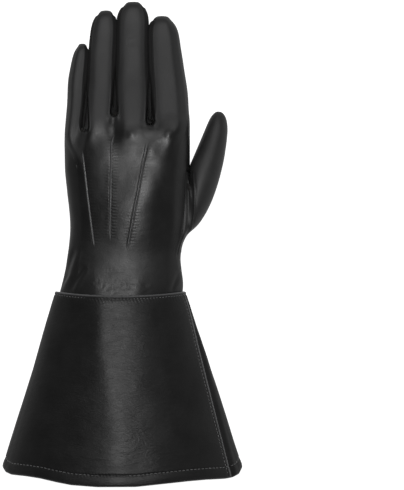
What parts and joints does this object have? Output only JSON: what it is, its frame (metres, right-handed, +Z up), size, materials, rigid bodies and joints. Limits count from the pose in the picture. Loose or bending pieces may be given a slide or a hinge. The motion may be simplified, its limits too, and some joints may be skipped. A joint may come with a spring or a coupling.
{
  "type": "gauntlet glove",
  "caption": "Left-hand black leather gauntlet glove with a flared cuff, set-in thumb, fourchettes and three raised lines on its back, lying palm down",
  "frame": {"origin": "middle of the glove's bounding box on the floor that it lies on, palm down", "axes": "+X is the thumb's side, +Y runs from the cuff's hem to the fingertips, +Z is up, out of the back of the hand"},
  "size_m": [0.188, 0.377, 0.052],
  "materials": {
    "black_leather": "smooth, softly shining black leather"
  },
  "bodies": {
    "root": {"trank": "black_leather", "thumb": "black_leather", "fourchette_little_ring": "black_leather", "fourchette_ring_middle": "black_leather", "fourchette_middle_index": "black_leather", "cuff_back_panel": "black_leather", "cuff_palm_panel": "black_leather"}
  },
  "joints": []
}
